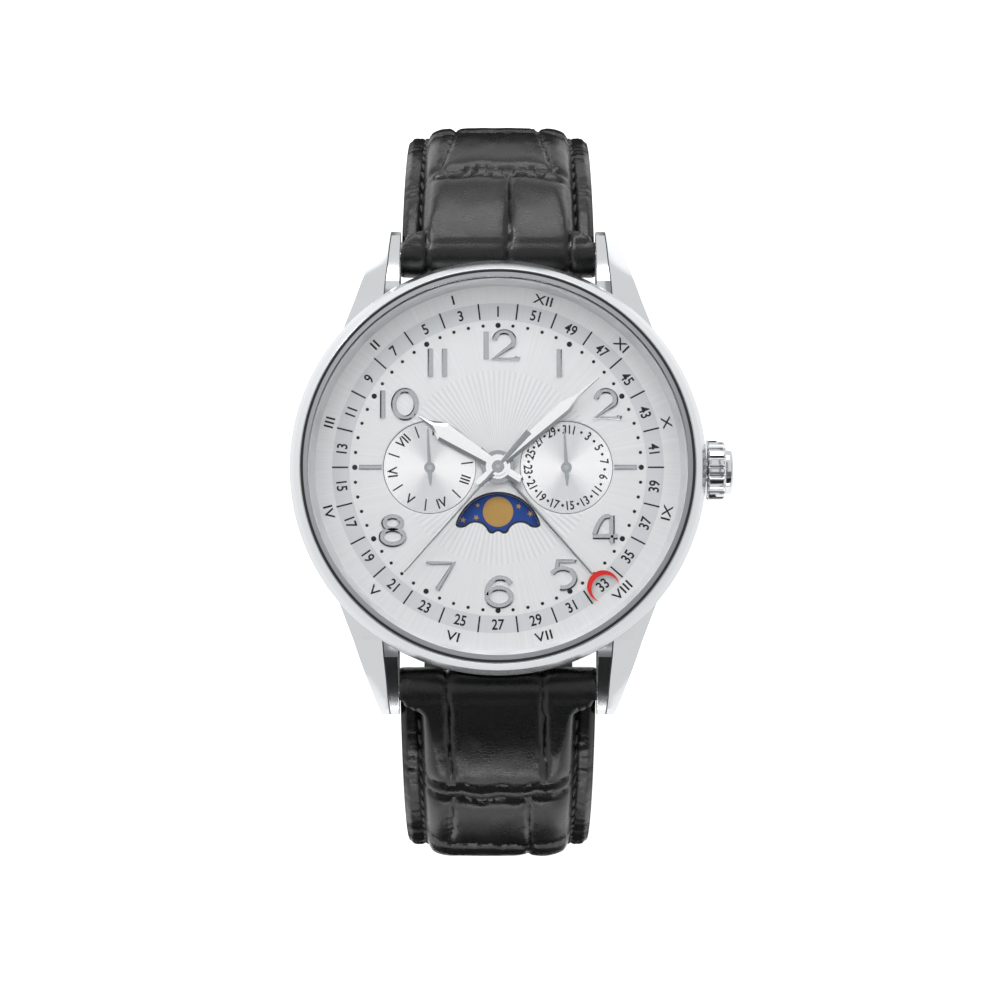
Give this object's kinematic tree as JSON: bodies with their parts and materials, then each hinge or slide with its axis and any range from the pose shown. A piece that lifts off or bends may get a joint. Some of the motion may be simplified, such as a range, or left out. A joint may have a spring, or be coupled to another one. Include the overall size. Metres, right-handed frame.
{
  "type": "wristwatch",
  "caption": "Round moon phase wristwatch with two subdials, week hand, fluted crown and padded leather strap with pin buckle.",
  "frame": {"origin": "on the hand axis, on the outer face of the case back", "axes": "+Z out of the dial, +Y to 12 o'clock, +X to the crown"},
  "size_m": [0.0448, 0.0796, 0.0659],
  "materials": {
    "case_steel": "polished",
    "back_steel": "brushed",
    "pin_steel": "turned",
    "hand_steel": "polished",
    "sapphire": "polished",
    "gasket_black": "smooth",
    "dial_silver": "sunburst, silvered",
    "moon_blue": "printed blue with gold moons",
    "tip_red": "lacquered",
    "plate_brass": "plated",
    "wheel_brass": "polished",
    "cell_steel": "plain",
    "board_green": "solder mask",
    "coil_copper": "wound wire",
    "holder_plastic": "moulded",
    "strap_leather": "glossy embossed",
    "lining_leather": "smooth matt"
  },
  "bodies": {
    "case": {"mid_case": "case_steel", "bezel": "case_steel", "crystal": "sapphire", "crystal_gasket": "gasket_black", "dial_flange": "case_steel", "case_back": "back_steel", "case_back_gasket": "gasket_black", "upper_spring_bar": "pin_steel", "lower_spring_bar": "pin_steel", "crown_tube": "pin_steel", "movement_holder": "holder_plastic", "main_plate": "plate_brass", "calendar_plate": "pin_steel", "train_bridge": "plate_brass", "bridge_screws": "pin_steel", "battery": "cell_steel", "battery_clip": "pin_steel", "circuit_board": "board_green", "quartz_can": "cell_steel", "stator": "pin_steel", "coil": "coil_copper", "dial": "dial_silver", "hour_markers": "hand_steel"},
    "clutch": {"clutch_pinion": "pin_steel"},
    "winder": {"crown": "case_steel", "crown_gasket": "gasket_black", "stem": "pin_steel"},
    "motor": {"rotor": "pin_steel"},
    "seconds": {"seconds_wheel": "wheel_brass", "seconds_hand": "hand_steel"},
    "third": {"third_wheel": "wheel_brass"},
    "minutes": {"centre_wheel": "wheel_brass", "minute_hand": "hand_steel"},
    "motion": {"minute_wheel": "wheel_brass"},
    "hours": {"hour_wheel": "wheel_brass", "hour_hand": "hand_steel"},
    "weeks": {"week_wheel": "wheel_brass", "week_hand": "hand_steel", "week_hand_tip": "tip_red"},
    "days": {"day_star": "wheel_brass", "day_hand": "hand_steel"},
    "dates": {"date_star": "wheel_brass", "date_hand": "hand_steel"},
    "moons": {"moon_disc": "moon_blue"},
    "strap_upper": {"upper_strap": "strap_leather", "upper_lining": "lining_leather", "fixed_keeper": "strap_leather"},
    "strap_lower": {"lower_strap": "strap_leather", "lower_lining": "lining_leather"},
    "keeper": {"loose_keeper": "strap_leather"},
    "bow": {"buckle_frame": "case_steel", "buckle_spring_bar": "pin_steel"},
    "tang": {"buckle_tang": "case_steel"}
  },
  "joints": [
    {"name": "upper_strap_swing", "type": "hinge", "parent": "case", "child": "strap_upper", "pos_m": [0, 0.0223, 0.0026], "axis": [1, 0, 0], "range_deg": [0, 75]},
    {"name": "lower_strap_swing", "type": "hinge", "parent": "case", "child": "strap_lower", "pos_m": [0, -0.0223, 0.0026], "axis": [-1, 0, 0], "range_deg": [0, 75]},
    {"name": "buckle_swing", "type": "hinge", "parent": "strap_upper", "child": "bow", "pos_m": [0, 0.0024, -0.04104], "axis": [1, 0, 0], "range_deg": [-60, 25]},
    {"name": "tang_swing", "type": "hinge", "parent": "bow", "child": "tang", "pos_m": [0, 0.0024, -0.04104], "axis": [1, 0, 0], "range_deg": [0, 90]},
    {"name": "keeper_slide", "type": "slide", "parent": "strap_upper", "child": "keeper", "axis": [0, 1, 0], "range_m": [0, 0.0032]},
    {"name": "crown_turn", "type": "hinge", "parent": "case", "child": "clutch", "pos_m": [0.0136, 0, 0.0039], "axis": [1, 0, 0], "continuous": true},
    {"name": "crown_pull", "type": "slide", "parent": "clutch", "child": "winder", "axis": [1, 0, 0], "range_m": [0, 0.0009]},
    {"name": "rotor_turn", "type": "hinge", "parent": "case", "child": "motor", "pos_m": [0.0039, 0.0035, 0.0026], "axis": [0, 0, -1], "continuous": true},
    {"name": "minute_turn", "type": "hinge", "parent": "case", "child": "minutes", "pos_m": [0, 0, 0.007], "axis": [0, 0, -1], "continuous": true},
    {"name": "seconds_turn", "type": "hinge", "parent": "case", "child": "seconds", "pos_m": [0, 0, 0.007], "axis": [0, 0, -1], "continuous": true},
    {"name": "third_turn", "type": "hinge", "parent": "case", "child": "third", "pos_m": [0, -0.0034, 0.0026], "axis": [0, 0, -1], "continuous": true},
    {"name": "motion_turn", "type": "hinge", "parent": "case", "child": "motion", "pos_m": [0.0017, 0.0017, 0.005], "axis": [0, 0, -1], "continuous": true},
    {"name": "hour_turn", "type": "hinge", "parent": "case", "child": "hours", "pos_m": [0, 0, 0.007], "axis": [0, 0, -1], "continuous": true},
    {"name": "week_turn", "type": "hinge", "parent": "case", "child": "weeks", "pos_m": [0, 0, 0.0068], "axis": [0, 0, 1], "continuous": true},
    {"name": "day_turn", "type": "hinge", "parent": "case", "child": "days", "pos_m": [-0.0069, 0, 0.006], "axis": [0, 0, -1], "continuous": true},
    {"name": "date_turn", "type": "hinge", "parent": "case", "child": "dates", "pos_m": [0.0069, 0, 0.006], "axis": [0, 0, -1], "continuous": true},
    {"name": "moon_turn", "type": "hinge", "parent": "case", "child": "moons", "pos_m": [0, -0.0069, 0.006], "axis": [0, 0, -1], "continuous": true}
  ],
  "couplings": [
    {"joint": "seconds_turn", "follows": "minute_turn", "ratio": 60},
    {"joint": "third_turn", "follows": "minute_turn", "ratio": -8},
    {"joint": "motion_turn", "follows": "minute_turn", "ratio": -0.33333},
    {"joint": "hour_turn", "follows": "minute_turn", "ratio": 0.083333}
  ]
}
